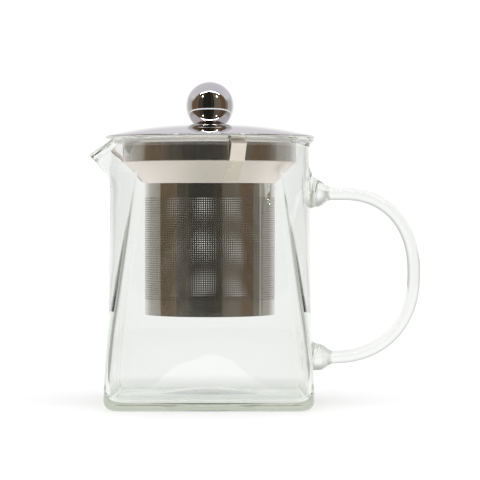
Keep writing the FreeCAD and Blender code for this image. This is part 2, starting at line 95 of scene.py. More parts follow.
class JugSettings(bpy.types.PropertyGroup):
    """Sizes of the blown glass jug and its handle."""
    base_side: length("Base side", "Outside width of the square base", 89)
    base_corner: length("Base corner", "Corner radius at the table", 9)
    ridge_round: length("Ridge round", "Corner radius where the ridge meets the neck", 5)
    ridge_bend: length("Ridge bend", "Height where the corner ridge starts to lean in", 41)
    heel_round: length("Heel", "Rounding under the walls", 4)
    wall: length("Wall", "Glass wall", 2)
    floor: length("Floor", "Glass floor", 3.2)
    punt_radius: length("Punt radius", "Radius of the pushed-up middle of the base", 20)
    punt_rise: length("Punt rise", "Height of the pushed-up middle", 3)
    neck_length: length("Neck length", "Round neck below the rim", 11.6)
    rim_flare: length("Rim flare", "How far the rim flares beyond the neck", 1.8)
    rim_depth: length("Rim depth", "Height of the flared part", 2.7)
    spout_drop: length("Spout drop", "From the rim down to the root of the spout", 17.6)
    lip_drop: length("Lip drop", "From the rim down to the spout's lip", 6.9)
    nose_round: length("Nose", "Outside radius of the spout's nose", 4)
    rod_height: length("Handle height", "Thickness of the handle seen from the side", 5.6)
    rod_width: length("Handle width", "Thickness of the handle seen from the end", 8.5)
    handle_drop: length("Handle drop", "From the rim down to the top root", 24.2)
    handle_foot: length("Handle foot", "From the table up to the bottom root", 20.1)
    root_length: length("Root length", "How far the handle's fused roots reach out", 9.3)
    boss_height: length("Boss height", "Height of the swelling at each root", 11.4)
    boss_width: length("Boss width", "Width of the swelling at each root", 12.4)
    glass: colour("Glass", "Tint at the surface of the glass", "#FBFCFB")
    depth_tint: colour("Depth tint", "Colour that thick glass takes", "#CBD3B4")


class InfuserSettings(bpy.types.PropertyGroup):
    """Sizes of the steel infuser."""
    sheet: length("Sheet", "Collar sheet", 0.5)
    collar_radius: length("Collar radius", "Outside of the straight collar", 37.5)
    collar_depth: length("Collar depth", "From the rim down to the funnel", 10.5)
    screen_sheet: length("Screen sheet", "Perforated sheet", 0.4)
    top_band: length("Top band", "Plain band above the holes", 5.9)
    foot_band: length("Foot band", "Plain band below the holes", 6.6)
    columns: IntProperty(name="Columns", description="Holes around the strainer", default=182, min=24)
    hole: length("Hole", "Width of one hole", 0.55)
    clip_width: length("Clip width", "Width of a spring clip", 6.6)
    clip_sheet: length("Clip sheet", "Thickness of a spring clip", 0.45)
    steel: colour("Steel", "Colour of the steel", "#CFCBC4")


class LidSettings(bpy.types.PropertyGroup):
    """Sizes of the lid and its knob."""
    edge: length("Edge", "Height of the turned-down edge", 0.8)
    sheet: length("Sheet", "Cover sheet", 0.6)
    knob_seat: length("Knob seat", "Radius of the flat seat under the ball", 6.6)
    steel: colour("Steel", "Colour of the polished steel", "#DAD8D8")


class StageSettings(bpy.types.PropertyGroup):
    """Camera, floor and studio light."""
    distance: FloatProperty(name="Distance", description="Camera to the axis of the jug",
                            default=1.0, unit="LENGTH")
    side: length("Side", "Camera to the right of the axis", 13.1)
    height: length("Height", "Camera above the table", 86.4)
    pitch: FloatProperty(name="Pitch", description="How far the camera looks down",
                         default=math.radians(0.87), unit="ROTATION", subtype="ANGLE")
    lens: FloatProperty(name="Lens", description="Focal length on a 36 mm sensor", default=172.0)
    table_radius: FloatProperty(name="Table radius", description="Round table top", default=0.62,
                                unit="LENGTH")


# ------------------------------------------------------------------ node and material tools

def feed(tree, value, socket):
    """Fill one input with a value, a socket, a node's first live output, or a list of those to join."""
    if isinstance(value, list):
        for item in value:
            feed(tree, item, socket)
    elif isinstance(value, bpy.types.Node):
        tree.links.new(next(output for output in value.outputs if output.enabled), socket)
    elif isinstance(value, bpy.types.NodeSocket):
        tree.links.new(value, socket)
    else:
        socket.default_value = value


def add_node(tree, kind, inputs=None, **settings):
    """Add a node, set its properties and fill its inputs."""
    node = tree.nodes.new(kind)
    for name, value in settings.items():
        setattr(node, name, value)
    for name, value in (inputs or {}).items():
        feed(tree, value, node.inputs[name])
    return node


def new_material(name):
    """An empty material and its node tree."""
    material = bpy.data.materials.new(name)
    material.use_nodes = True
    material.node_tree.nodes.clear()
    return material, material.node_tree


def object_place(tree, per_metre):
    """Object coordinates in metres, multiplied per axis."""
    where = add_node(tree, "ShaderNodeTexCoord")
    return add_node(tree, "ShaderNodeMapping", {"Vector": where.outputs["Object"], "Scale": per_metre})


def borosilicate_glass():
    """Blown borosilicate: clear, fire-smooth, slightly wavy, faintly olive where it is thick."""
    jug = bpy.context.scene.teapot_jug
    material, tree = new_material("blown_borosilicate_glass")
    # blowing leaves waves a centimetre or two long, a few hundredths of a millimetre deep
    waves = add_node(tree, "ShaderNodeTexNoise", {
        "Vector": object_place(tree, (1, 1, 0.55)), "Scale": 62.0, "Detail": 1.5, "Roughness": 0.45})
    bump = add_node(tree, "ShaderNodeBump", {"Height": waves, "Strength": 0.3, "Distance": 0.4 * MM})
    shader = add_node(tree, "ShaderNodeBsdfPrincipled", {
        "Base Color": jug.glass, "Roughness": 0.0, "IOR": 1.473, "Transmission Weight": 1.0,
        "Normal": bump})
    # lamp light and soft light pass straight through, so the table below the jug stays bright,
    # and light that has bounced about inside a thick edge is let out, so that it stays pale
    path = add_node(tree, "ShaderNodeLightPath")
    soft = add_node(tree, "ShaderNodeMath", {
        0: path.outputs["Is Shadow Ray"], 1: path.outputs["Is Diffuse Ray"]}, operation="MAXIMUM")
    trapped = add_node(tree, "ShaderNodeMath", {
        0: path.outputs["Ray Depth"], 1: 4.5}, operation="GREATER_THAN")
    passes = add_node(tree, "ShaderNodeMath", {0: soft, 1: trapped}, operation="MAXIMUM")
    clear = add_node(tree, "ShaderNodeBsdfTransparent", {"Color": (0.93, 0.94, 0.93, 1.0)})
    surface = add_node(tree, "ShaderNodeMixShader", {0: passes, 1: shader, 2: clear})
    depth = add_node(tree, "ShaderNodeVolumeAbsorption", {"Color": jug.depth_tint, "Density": 6.0})
    add_node(tree, "ShaderNodeOutputMaterial", {"Surface": surface, "Volume": depth})
    return material


def brushed_steel(name, tone, roughness, grain, per_metre):
    """Brushed stainless: fine parallel scratches blur reflections across the brushing.

    grain is how much the scratches darken, and per_metre how many fit in a metre along each axis.
    Real grit leaves them about 0.1 mm apart. They are drawn 0.4 to 1 mm apart so they can be seen.
    """
    material, tree = new_material(name)
    scratches = add_node(tree, "ShaderNodeTexNoise", {
        "Vector": object_place(tree, per_metre), "Scale": 1.0, "Detail": 3.0, "Roughness": 0.65})
    shade = add_node(tree, "ShaderNodeMapRange", {
        "Value": scratches, "From Min": 0.3, "From Max": 0.7, "To Min": 1.0 - grain, "To Max": 1.0})
    tint = add_node(tree, "ShaderNodeVectorMath", {0: tone[:3], 3: shade}, operation="SCALE")
    rough = add_node(tree, "ShaderNodeMapRange", {
        "Value": scratches, "From Min": 0.3, "From Max": 0.7,
        "To Min": roughness * 0.75, "To Max": roughness * 1.25})
    bump = add_node(tree, "ShaderNodeBump", {"Height": scratches, "Strength": 0.12, "Distance": 0.08 * MM})
    around = add_node(tree, "ShaderNodeTangent", direction_type="RADIAL", axis="Z")
    shader = add_node(tree, "ShaderNodeBsdfPrincipled", {
        "Base Color": tint, "Metallic": 1.0, "Roughness": rough, "Anisotropic": 0.6,
        "Normal": bump, "Tangent": around})
    add_node(tree, "ShaderNodeOutputMaterial", {"Surface": shader})
    return material


def bright_steel(name, tone, roughness, haze):
    """Rolled or polished stainless: clean reflections, softened in places by faint wiping marks."""
    material, tree = new_material(name)
    place = object_place(tree, (1, 1, 1))
    # wiping leaves marks about a centimetre across
    marks = add_node(tree, "ShaderNodeTexNoise", {
        "Vector": place, "Scale": 90.0, "Detail": 5.0, "Roughness": 0.6})
    rough = add_node(tree, "ShaderNodeMapRange", {
        "Value": marks, "From Min": 0.35, "From Max": 0.75,
        "To Min": roughness, "To Max": roughness + haze})
    # polishing leaves a surface that ripples by a few microns
    ripple = add_node(tree, "ShaderNodeTexNoise", {"Vector": place, "Scale": 140.0, "Detail": 1.0})
    bump = add_node(tree, "ShaderNodeBump", {"Height": ripple, "Strength": 0.08, "Distance": 0.1 * MM})
    shader = add_node(tree, "ShaderNodeBsdfPrincipled", {
        "Base Color": tone, "Metallic": 1.0, "Roughness": rough, "Normal": bump})
    add_node(tree, "ShaderNodeOutputMaterial", {"Surface": shader})
    return material


# ------------------------------------------------------------------ mesh tools

def smooth_step(value):
    """0 to 1 with a gentle start and end, held at 0 below and at 1 above."""
    value = max(0.0, min(1.0, value))
    return value * value * (3 - 2 * value)


def soft_hinge(value, width):
    """0 below zero and the value itself above it, with a rounded bend of that width."""
    return (value + math.sqrt(value * value + width * width)) / 2


def add_object(name, data):
    """Put a mesh, a light or a camera in the scene."""
    item = bpy.data.objects.new(name, data)
    bpy.context.scene.collection.objects.link(item)
    return item


def new_piece(name, mesh, material, body, nodes):
    """Put a finished mesh in the scene as a piece that rides a body and stands for CAD nodes."""
    piece = add_object(name, mesh)
    mesh.materials.clear()
    mesh.materials.append(material)
    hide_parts(*nodes)
    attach(piece, body)


def crease(mesh, degrees):
    """Shade a mesh smooth except across edges sharper than an angle."""
    mesh.shade_smooth()
    mesh.set_sharp_from_angle(angle=math.radians(degrees))


def grid_mesh(name, rows, closed_rows=False):
    """A closed skin over rings of points. A ring of one point is a pole."""
    bm = bmesh.new()
    rings = [[bm.verts.new(point) for point in row] for row in rows]
    pairs = list(zip(rings, rings[1:]))
    if closed_rows:
        pairs.append((rings[-1], rings[0]))
    for lower, upper in pairs:
        count = max(len(lower), len(upper))
        for step in range(count):
            after = (step + 1) % count
            if len(lower) == 1:
                bm.faces.new((lower[0], upper[after], upper[step]))
            elif len(upper) == 1:
                bm.faces.new((lower[step], lower[after], upper[0]))
            else:
                bm.faces.new((lower[step], lower[after], upper[after], upper[step]))
    bmesh.ops.recalc_face_normals(bm, faces=bm.faces)
    for face in bm.faces:
        face.smooth = True
    mesh = bpy.data.meshes.new(name)
    bm.to_mesh(mesh)
    bm.free()
    return mesh


def bend_arc(before, here, after, radius, steps):
    """Round one corner of a line: points along the arc, each with the direction to the right of travel.

    The arc keeps within its two stretches of line. A radius of 0 leaves the corner sharp.
    """
    come, leave = (here - before).normalized(), (after - here).normalized()
    turn = math.atan2(come.x * leave.y - come.y * leave.x, come.dot(leave))
    right = Vector((come.y, -come.x))
    if radius == 0 or abs(turn) < 1e-4:
        return [(here, (right + Vector((leave.y, -leave.x))).normalized())]
    reach = radius * math.tan(abs(turn) / 2)
    reach = min(reach, (here - before).length * 0.499, (after - here).length * 0.499)
    true_radius = reach / math.tan(abs(turn) / 2)
    side = 1 if turn > 0 else -1
    centre = here - come * reach - right * true_radius * side
    arc = []
    for step in range(steps + 1):
        angle = turn * step / steps
        spoke = Vector((right.x * math.cos(angle) - right.y * math.sin(angle),
                        right.x * math.sin(angle) + right.y * math.cos(angle)))
        arc.append((centre + spoke * true_radius * side, spoke))
    return arc


def rounded_outline(corners, steps=4):
    """Points and outward normals of a closed anticlockwise outline. corners are (x, z, radius)."""
    outline = []
    for index, (x, z, radius) in enumerate(corners):
        before, after = Vector(corners[index - 1][:2]), Vector(corners[(index + 1) % len(corners)][:2])
        outline += bend_arc(before, Vector((x, z)), after, radius, steps)
    return outline


def turned_mesh(name, outline, segments):
    """Turn a closed outline of radius and height about the axis, with the outline's own normals."""
    rows, shading = [], []
    for point, normal in outline:
        on_axis = point.x < 1e-7
        flat = 0 if on_axis else normal.x
        row = []
        for step in range(1 if on_axis else segments):
            angle = 2 * math.pi * step / segments
            row.append((point.x * math.cos(angle), point.x * math.sin(angle), point.y))
            shading.append((flat * math.cos(angle), flat * math.sin(angle), normal.y))
        rows.append(row)
    solid = len(rows[0]) == 1 and len(rows[-1]) == 1
    mesh = grid_mesh(name, rows, closed_rows=not solid)
    mesh.normals_split_custom_set_from_vertices([Vector(item).normalized() for item in shading])
    return mesh


# ------------------------------------------------------------------ glass

class JugShape:
    """The square-to-round jug as radius by direction and height, all in metres."""

    # the rim falls to the lip within this many degrees either side of the spout, after a soft bend
    LIP_TURN = 24.5
    LIP_BEND = 1.2 * MM
    # the spout dies away over this share of its height, and below this share there is none
    ROOT_BEND = 0.12
    ROOT_END = -0.3
    # share of the bulge kept at the spout's two edges, and of its turn taken to reach the rest
    EDGE_SHARE = 0.35
    EASE_SHARE = 0.35
    # the flare is left out near the spout and comes back over the next degrees
    PLAIN_TURN = 16
    FLARE_TURN = 20
    FLARE_POWER = 1.8
    # melting draws the rim into a slightly thicker bead
    BEAD = 0.32 * MM
    BEAD_DEPTH = 1.8 * MM
    # the inside corners are never tighter than this
    TIGHTEST = 0.5 * MM

    def __init__(self):
        jug = bpy.context.scene.teapot_jug
        self.jug = jug
        self.neck = RIM_RADIUS - jug.rim_flare
        self.round_height = RIM_TOP - jug.neck_length
        self.spout_root = RIM_TOP - jug.spout_drop
        self.lean = (SPOUT_TIP - self.neck) / (jug.spout_drop - jug.lip_drop)
        self.lip_start = self.neck * math.cos(math.radians(self.LIP_TURN))
        self.lip_fall = jug.lip_drop / (SPOUT_TIP - self.lip_start)

    def face_distance(self, height):
        """From the axis to the middle of a side wall."""
        rise = min(1.0, height / self.round_height)
        return self.jug.base_side / 2 + (self.neck - self.jug.base_side / 2) * rise

    def ridge_distance(self, height):
        """From the axis to the corner ridge: upright at the table, straight from the bend up."""
        jug = self.jug
        foot = jug.base_side / 2 * math.sqrt(2) - jug.base_corner * (math.sqrt(2) - 1)
        bend, top = jug.ridge_bend, self.round_height
        lean = (foot - self.neck) / (bend * (2 * top - bend))
        if height < bend:
            return foot - lean * height ** 2
        return max(self.neck, foot - lean * bend * (2 * height - bend))

    def wall_radius(self, angle, height, inset):
        """The wall without the spout: flat or bowed sides joined by tangent corner arcs."""
        face = self.face_distance(height) - inset
        ridge = self.ridge_distance(height) - inset
        if ridge - face < 1e-6:
            return face
        rise = min(1.0, height / self.round_height)
        corner = self.jug.base_corner + (self.jug.ridge_round - self.jug.base_corner) * rise
        corner = max(corner - inset, self.TIGHTEST)
        turn = abs((angle + math.pi / 4) % (math.pi / 2) - math.pi / 4)
        middle = (ridge - corner) / math.sqrt(2)
        shift = middle - face
        if abs(shift + corner) < 1e-7:
            meet = math.atan2(middle, face)
            if turn < meet:
                return face / math.cos(turn)
        else:
            bow = (corner ** 2 - shift ** 2 - middle ** 2) / (2 * (shift + corner))
            centre = face - bow
            away = Vector((middle - centre, middle)).normalized()
            meet = math.atan2(middle + away.y * corner, middle + away.x * corner)
            if turn < meet:
                inside = bow ** 2 - (centre * math.sin(turn)) ** 2
                return centre * math.cos(turn) + math.sqrt(max(inside, 0.0))
        reach = ridge - corner
        off = turn - math.pi / 4
        return reach * math.cos(off) + math.sqrt(max(corner ** 2 - (reach * math.sin(off)) ** 2, 0.0))

    def off_spout(self, angle):
        """How far a direction is turned away from the spout, which points along minus X."""
        return abs(angle % (2 * math.pi) - math.pi)

    def beak_gain(self, angle, height, inset):
        """How far the spout stands out beyond the neck in a direction, at a height."""
        rise = (height - self.spout_root) / self.jug.spout_drop
        if rise < self.ROOT_END:
            return 0.0
        neck = self.neck - inset
        nose = self.jug.nose_round - inset
        reach = self.neck + self.lean * self.jug.spout_drop - inset * math.hypot(1, self.lean)
        off = self.off_spout(angle)
        leave = math.acos((neck - nose) / (reach - nose))
        if off >= leave:
            return 0.0
        nose_edge = math.atan2(nose * math.sin(leave), reach - nose + nose * math.cos(leave))
        if off > nose_edge:
            outline = neck / math.cos(leave - off)
        else:
            middle = reach - nose
            inside = nose ** 2 - (middle * math.sin(off)) ** 2
            outline = middle * math.cos(off) + math.sqrt(max(inside, 0.0))
        ease = smooth_step((leave - off) / (leave * self.EASE_SHARE))
        share = self.EDGE_SHARE + (1 - self.EDGE_SHARE) * ease
        return soft_hinge(rise, self.ROOT_BEND) * (outline - neck) * share

    def rim_height(self, angle):
        """Height of the top edge in a direction: level, and falling to the lip at the spout."""
        height = RIM_TOP
        # the lip's height and reach depend on each other, so they are closed in on together
        for _ in range(40):
            radius = self.neck + self.beak_gain(angle, height, 0)
            out = -radius * math.cos(angle) - self.lip_start
            target = RIM_TOP - self.lip_fall * soft_hinge(out, self.LIP_BEND)
            height += (target - height) * 0.5
        return min(height, RIM_TOP)

    def radius(self, angle, height, inset, top):
        """The finished wall with the spout, the flared rim and its bead."""
        below = top - height
        near = max(0.0, 1 - below / self.jug.rim_depth)
        off = self.off_spout(angle)
        plain = smooth_step((off - math.radians(self.PLAIN_TURN)) / math.radians(self.FLARE_TURN))
        flare = self.jug.rim_flare * near ** self.FLARE_POWER * plain
        outward = 1 if inset == 0 else -1
        bead = self.BEAD * smooth_step(1 - below / self.BEAD_DEPTH) * outward
        gain = self.beak_gain(angle, height, inset)
        return self.wall_radius(angle, height, inset) + gain + flare + bead


def ring_angles():
    """Directions round the jug, closer together at the four ridges."""
    eighth = [step * 3.0 for step in range(12)] + [34.5 + step * 1.25 for step in range(9)]
    half = eighth + [45.0] + [90 - angle for angle in reversed(eighth) if angle > 0]
    return [math.radians(90 * side + angle) for side in range(4) for angle in half]


def cap_height(radius, width, rise):
    """Height of a spherical cap over a radius, from the plane of its edge."""
    ball = (width ** 2 + rise ** 2) / (2 * rise)
    return math.sqrt(ball ** 2 - radius ** 2) - (ball - rise)


def jug_mesh():
    """Closed shell: up the outside from the middle of the base, over the rim and down the inside."""
    shape = JugShape()
    jug = shape.jug
    angles = ring_angles()
    lip_edge = 1.15 * MM
    tops = [shape.rim_height(angle) - lip_edge for angle in angles]

    def ring(radius_of, height_of):
        """Points all round, from a radius and a height that go by direction and its number."""
        return [(radius_of(angle, index) * math.cos(angle), radius_of(angle, index) * math.sin(angle),
                 height_of(angle, index)) for index, angle in enumerate(angles)]

    def base_rings(inset, edge, foot, punt, rise):
        """From the pole out over the punt, across the flat and round the heel."""
        rows = [[(0, 0, foot + rise)]]
        for share in (0.2, 0.4, 0.6, 0.8, 0.93, 1.0):
            radius = punt * share
            level = foot + cap_height(radius, punt, rise)
            rows.append(ring(lambda a, i, r=radius: r, lambda a, i, z=level: z))
        for share in (0.06, 0.3, 0.6, 0.9):
            def across(angle, index, s=share):
                """Radius part of the way from the punt's edge to the heel."""
                return punt + (shape.wall_radius(angle, foot, inset + edge) - punt) * s
            rows.append(ring(across, lambda a, i: foot))
        for step in range(7):
            turn = math.pi / 2 * step / 6
            pull, level = edge * (1 - math.sin(turn)), foot + edge * (1 - math.cos(turn))
            rows.append(ring(lambda a, i, p=pull, z=level: shape.wall_radius(a, z, inset + p),
                             lambda a, i, z=level: z))
        return rows

    def wall_rings(inset, start):
        """Level rings up to below the spout, then rings that lean over to follow the rim."""
        # the two kinds meet a little below the spout
        split = shape.spout_root - 5 * MM
        level_rings, leaning_rings = 30, 26
        rows = []
        for step in range(1, level_rings + 1):
            level = start + (split - start) * step / level_rings
            rows.append(ring(lambda a, i, z=level: shape.wall_radius(a, z, inset), lambda a, i, z=level: z))
        for step in range(1, leaning_rings + 1):
            # closer together towards the rim
            share = 1 - (1 - step / leaning_rings) ** 1.5

            def climb(angle, index, s=share):
                """Height part of the way from the split to the rim."""
                return split + (tops[index] - split) * s
            rows.append(ring(lambda a, i, h=climb: shape.radius(a, h(a, i), inset, tops[i]), climb))
        return rows

    outer = base_rings(0, jug.heel_round, 0, jug.punt_radius, jug.punt_rise)
    outer += wall_rings(0, jug.heel_round)
    # the inside is rounder at the heel, and its hill in the middle a little higher
    inner_heel = jug.heel_round + 1 * MM
    inner_rise = jug.punt_rise + 0.3 * MM
    inner = base_rings(jug.wall, inner_heel, jug.floor, jug.punt_radius + jug.wall, inner_rise)
    inner += wall_rings(jug.wall, jug.floor + inner_heel)
    rim = []
    full_lean = 6 * MM
    for step in range(1, 8):
        turn = math.pi * step / 8
        row = []
        for outside, inside, angle, top in zip(outer[-1], inner[-1], angles, tops):
            middle = (Vector(outside) + Vector(inside)) / 2
            half = (Vector(outside) - Vector(inside)) / 2
            # where the spout stands out the rim's round edge leans out with it
            lean = math.atan(shape.lean) * smooth_step(shape.beak_gain(angle, top, 0) / full_lean)
            out = Vector((math.cos(angle), math.sin(angle), 0))
            along = out * math.sin(lean) + Vector((0, 0, 1)) * math.cos(lean)
            row.append(middle + half * math.cos(turn) + along * half.length * math.sin(turn))
        rim.append(row)
    return grid_mesh("glass_jug", outer + rim + list(reversed(inner)))


def handle_mesh():
    """Solid oval ear: spread roots, a short straight start at each and a slightly squared bow."""
    shape = JugShape()
    jug = shape.jug
    rod, wide = jug.rod_height / 2, jug.rod_width / 2
    top, bottom = RIM_TOP - jug.handle_drop, jug.handle_foot
    # the bow is a little above the middle of its roots, and fuller than an ellipse
    bow_lift, bow_power = 1.25 * MM, 2.25
    middle = (top + bottom) / 2 + bow_lift
    outer = HANDLE_END - rod
    # the boss is full at this share of the root, and the spread keeps close to the wall
    boss_share, spread_power = 0.62, 5
    # a root's share is 0 at its tip and 1 on the wall's face, and its end is buried a little deeper
    buried = 1.11
    shares = [buried] + [1 - step / 16 for step in range(17)]

    def root(height, lift, tall_root, wide_root, direction, stops):
        """Swells from the plain rod to a boss, then spreads on the wall itself."""
        tall_boss, wide_boss = jug.boss_height / 2, jug.boss_width / 2
        sections = []
        for share in stops:
            swell = smooth_step(share / boss_share)
            spread = min(share, 1.0) ** spread_power
            tall = rod + (tall_boss - rod) * swell + (tall_root - tall_boss) * spread
            broad = wide + (wide_boss - wide) * swell + (wide_root - wide_boss) * spread
            reach = shape.face_distance(height) + jug.root_length * (1 - share)
            sections.append((Vector((reach, 0, height + lift * spread)), direction, tall, broad))
        return sections

    def bow(height, straight, side, turns):
        """Half of the bow, from a root's straight start round to its outermost point or back."""
        begin = shape.face_distance(height) + straight
        width, span = outer - begin, abs(height - middle)
        sections = []
        for turn in turns:
            across = math.cos(math.radians(turn)) ** (2 / bow_power)
            along = math.sin(math.radians(turn)) ** (2 / bow_power)
            centre = Vector((begin + width * across, 0, middle + side * span * along))
            normal = Vector((across ** (bow_power - 1) / width, side * along ** (bow_power - 1) / span))
            sections.append((centre, math.atan2(-normal.x, normal.y), rod, wide))
        return sections

    upper_straight, lower_straight = 14 * MM, 8.5 * MM
    # each root: how far it is lifted, then half its height and half its width on the wall
    upper_root, lower_root = (2.4 * MM, 9.0 * MM, 8.5 * MM), (0.6 * MM, 6.5 * MM, 6.7 * MM)
    sections = root(top, *upper_root, 0.0, shares)
    sections += bow(top, upper_straight, 1, range(87, -1, -3))
    sections += bow(bottom, lower_straight, -1, range(3, 88, 3))
    sections += root(bottom, *lower_root, math.pi, list(reversed(shares)))
    rows = [[sections[0][0]]]
    sides = 40
    for centre, direction, tall, broad in sections:
        up = Vector((-math.sin(direction), 0, math.cos(direction)))
        row = []
        for step in range(sides):
            angle = 2 * math.pi * step / sides
            row.append(centre + Vector((0, 1, 0)) * broad * math.cos(angle) + up * tall * math.sin(angle))
        rows.append(row)
    rows.append([sections[-1][0]])
    return grid_mesh("glass_handle", rows)


def build_glass():
    """Jug and handle, melted into one piece of glass as the real one is."""
    body = add_object("glass_jug_shell", jug_mesh())
    handle = add_object("glass_handle_rod", handle_mesh())
    union = body.modifiers.new("fuse", "BOOLEAN")
    union.operation, union.solver, union.object = "UNION", "EXACT", handle
    graph = bpy.context.evaluated_depsgraph_get()
    mesh = bpy.data.meshes.new_from_object(body.evaluated_get(graph))
    mesh.name = "glass_jug"
    for part in (body, handle):
        bpy.data.objects.remove(part)
    crease(mesh, 38)
    nodes = ["glass_body", "glass_handle"]
    new_piece("glass_jug", mesh, borosilicate_glass(), "jug", nodes)


# ------------------------------------------------------------------ infuser

def build_collar():
    """Flange and straight collar in brushed sheet, and the satin funnel below them."""
    infuser = bpy.context.scene.teapot_infuser
    sheet, out = infuser.sheet, infuser.collar_radius
    foot = RIM_TOP - infuser.collar_depth
    inner = BASKET_RADIUS - sheet
    corners = [
        (out - sheet, foot, 0.1 * MM),
        (out, foot, 0.22 * MM),
        (out, RIM_TOP, 0.4 * MM),
        (FLANGE_RADIUS, RIM_TOP, 0.2 * MM),
        (FLANGE_RADIUS, FLANGE_TOP, 0.2 * MM),
        (out - sheet, FLANGE_TOP, 0.9 * MM),
    ]
    mesh = turned_mesh("infuser_collar", rounded_outline(corners), 160)
    # brushed upright: the dark room shows as blurred upright bands
    steel = brushed_steel("brushed_stainless_collar", infuser.steel, 0.16, 0.05, (1500, 1500, 30))
    nodes = ["infuser_flange", "infuser_collar"]
    new_piece("infuser_collar", mesh, steel, "infuser", nodes)
    cone = [
        (inner, BASKET_TOP, 0.1 * MM),
        (BASKET_RADIUS, BASKET_TOP, 0.2 * MM),
        (out, foot, 0.1 * MM),
        (out - sheet * 1.5, foot, 0.1 * MM),
        (inner, BASKET_TOP + sheet / 2, 0.1 * MM),
    ]
    mesh = turned_mesh("infuser_funnel", rounded_outline(cone), 160)
    # satin: an even, pale, warm grey that mirrors nothing sharply
    satin = bright_steel("satin_stainless_funnel", linear("#F8EDE6"), 0.3, 0.04)
    new_piece("infuser_funnel", mesh, satin, "infuser", ["infuser_funnel"])


def strainer_tree(name):
    """A Geometry Nodes tree and its input node, with the sizes that the wall and the floor share."""
    tree = bpy.data.node_groups.new(name, "GeometryNodeTree")
    tree.interface.new_socket("Geometry", in_out="INPUT", socket_type="NodeSocketGeometry")
    for label in ("Columns", "Rows"):
        tree.interface.new_socket(label, in_out="INPUT", socket_type="NodeSocketInt")
    for label in ("Pitch across", "Pitch along", "Hole radius", "Wrap radius", "Foot", "Top band",
                  "Foot band", "Disc radius", "Sheet"):
        tree.interface.new_socket(label, in_out="INPUT", socket_type="NodeSocketFloat")
    tree.interface.new_socket("Steel", in_out="INPUT", socket_type="NodeSocketMaterial")
    tree.interface.new_socket("Geometry", in_out="OUTPUT", socket_type="NodeSocketGeometry")
    return tree, add_node(tree, "NodeGroupInput").outputs


class TeapotError(RuntimeError):
    """A piece can't be made, and the script stops."""


def socket_value(modifier, label, value):
    """Set one named input of a Geometry Nodes modifier by its identifier."""
    for item in modifier.node_group.interface.items_tree:
        if item.item_type == "SOCKET" and item.in_out == "INPUT" and item.name == label:
            modifier[item.identifier] = value
            return
    raise TeapotError(f"the node tree has no input named {label}")


def hole_tile(tree, given):
    """One square of sheet with an eight-sided hole in it."""
    square = add_node(tree, "GeometryNodeCurvePrimitiveQuadrilateral", {
        "Width": given["Pitch across"], "Height": given["Pitch along"]})
    circle = add_node(tree, "GeometryNodeCurvePrimitiveCircle", {
        "Resolution": 8, "Radius": given["Hole radius"]})
    both = add_node(tree, "GeometryNodeJoinGeometry", {0: [square, circle]})
    return add_node(tree, "GeometryNodeFillCurve", {"Curve": both})


def tiled_sheet(tree, given):
    """Tiles edge to edge on a flat grid of Columns by Rows, as instances. Its middle is at the origin."""
    last_column = add_node(tree, "ShaderNodeMath", {0: given["Columns"], 1: 1.0}, operation="SUBTRACT")
    last_row = add_node(tree, "ShaderNodeMath", {0: given["Rows"], 1: 1.0}, operation="SUBTRACT")
    width = add_node(tree, "ShaderNodeMath", {
        0: last_column, 1: given["Pitch across"]}, operation="MULTIPLY")
    height = add_node(tree, "ShaderNodeMath", {
        0: last_row, 1: given["Pitch along"]}, operation="MULTIPLY")
    points = add_node(tree, "GeometryNodeMeshGrid", {
        "Vertices X": given["Columns"], "Vertices Y": given["Rows"], "Size X": width, "Size Y": height})
    return add_node(tree, "GeometryNodeInstanceOnPoints", {
        "Points": points, "Instance": hole_tile(tree, given)})


def finish_tree(tree, given, sheet, direction):
    """Give a sheet its thickness and close it all round, then its material."""
    offset = add_node(tree, "ShaderNodeVectorMath", {0: direction, 3: given["Sheet"]}, operation="SCALE")
    raised = add_node(tree, "GeometryNodeExtrudeMesh", {
        "Mesh": sheet, "Offset": offset, "Offset Scale": 1.0, "Individual": False})
    under = add_node(tree, "GeometryNodeFlipFaces", {"Mesh": sheet})
    both = add_node(tree, "GeometryNodeJoinGeometry", {0: [raised, under]})
    closed = add_node(tree, "GeometryNodeMergeByDistance", {"Geometry": both, "Distance": 0.004 * MM})
    real = add_node(tree, "GeometryNodeRealizeInstances", {"Geometry": closed})
    steel = add_node(tree, "GeometryNodeSetMaterial", {"Geometry": real, "Material": given["Steel"]})
    add_node(tree, "NodeGroupOutput", {0: steel})


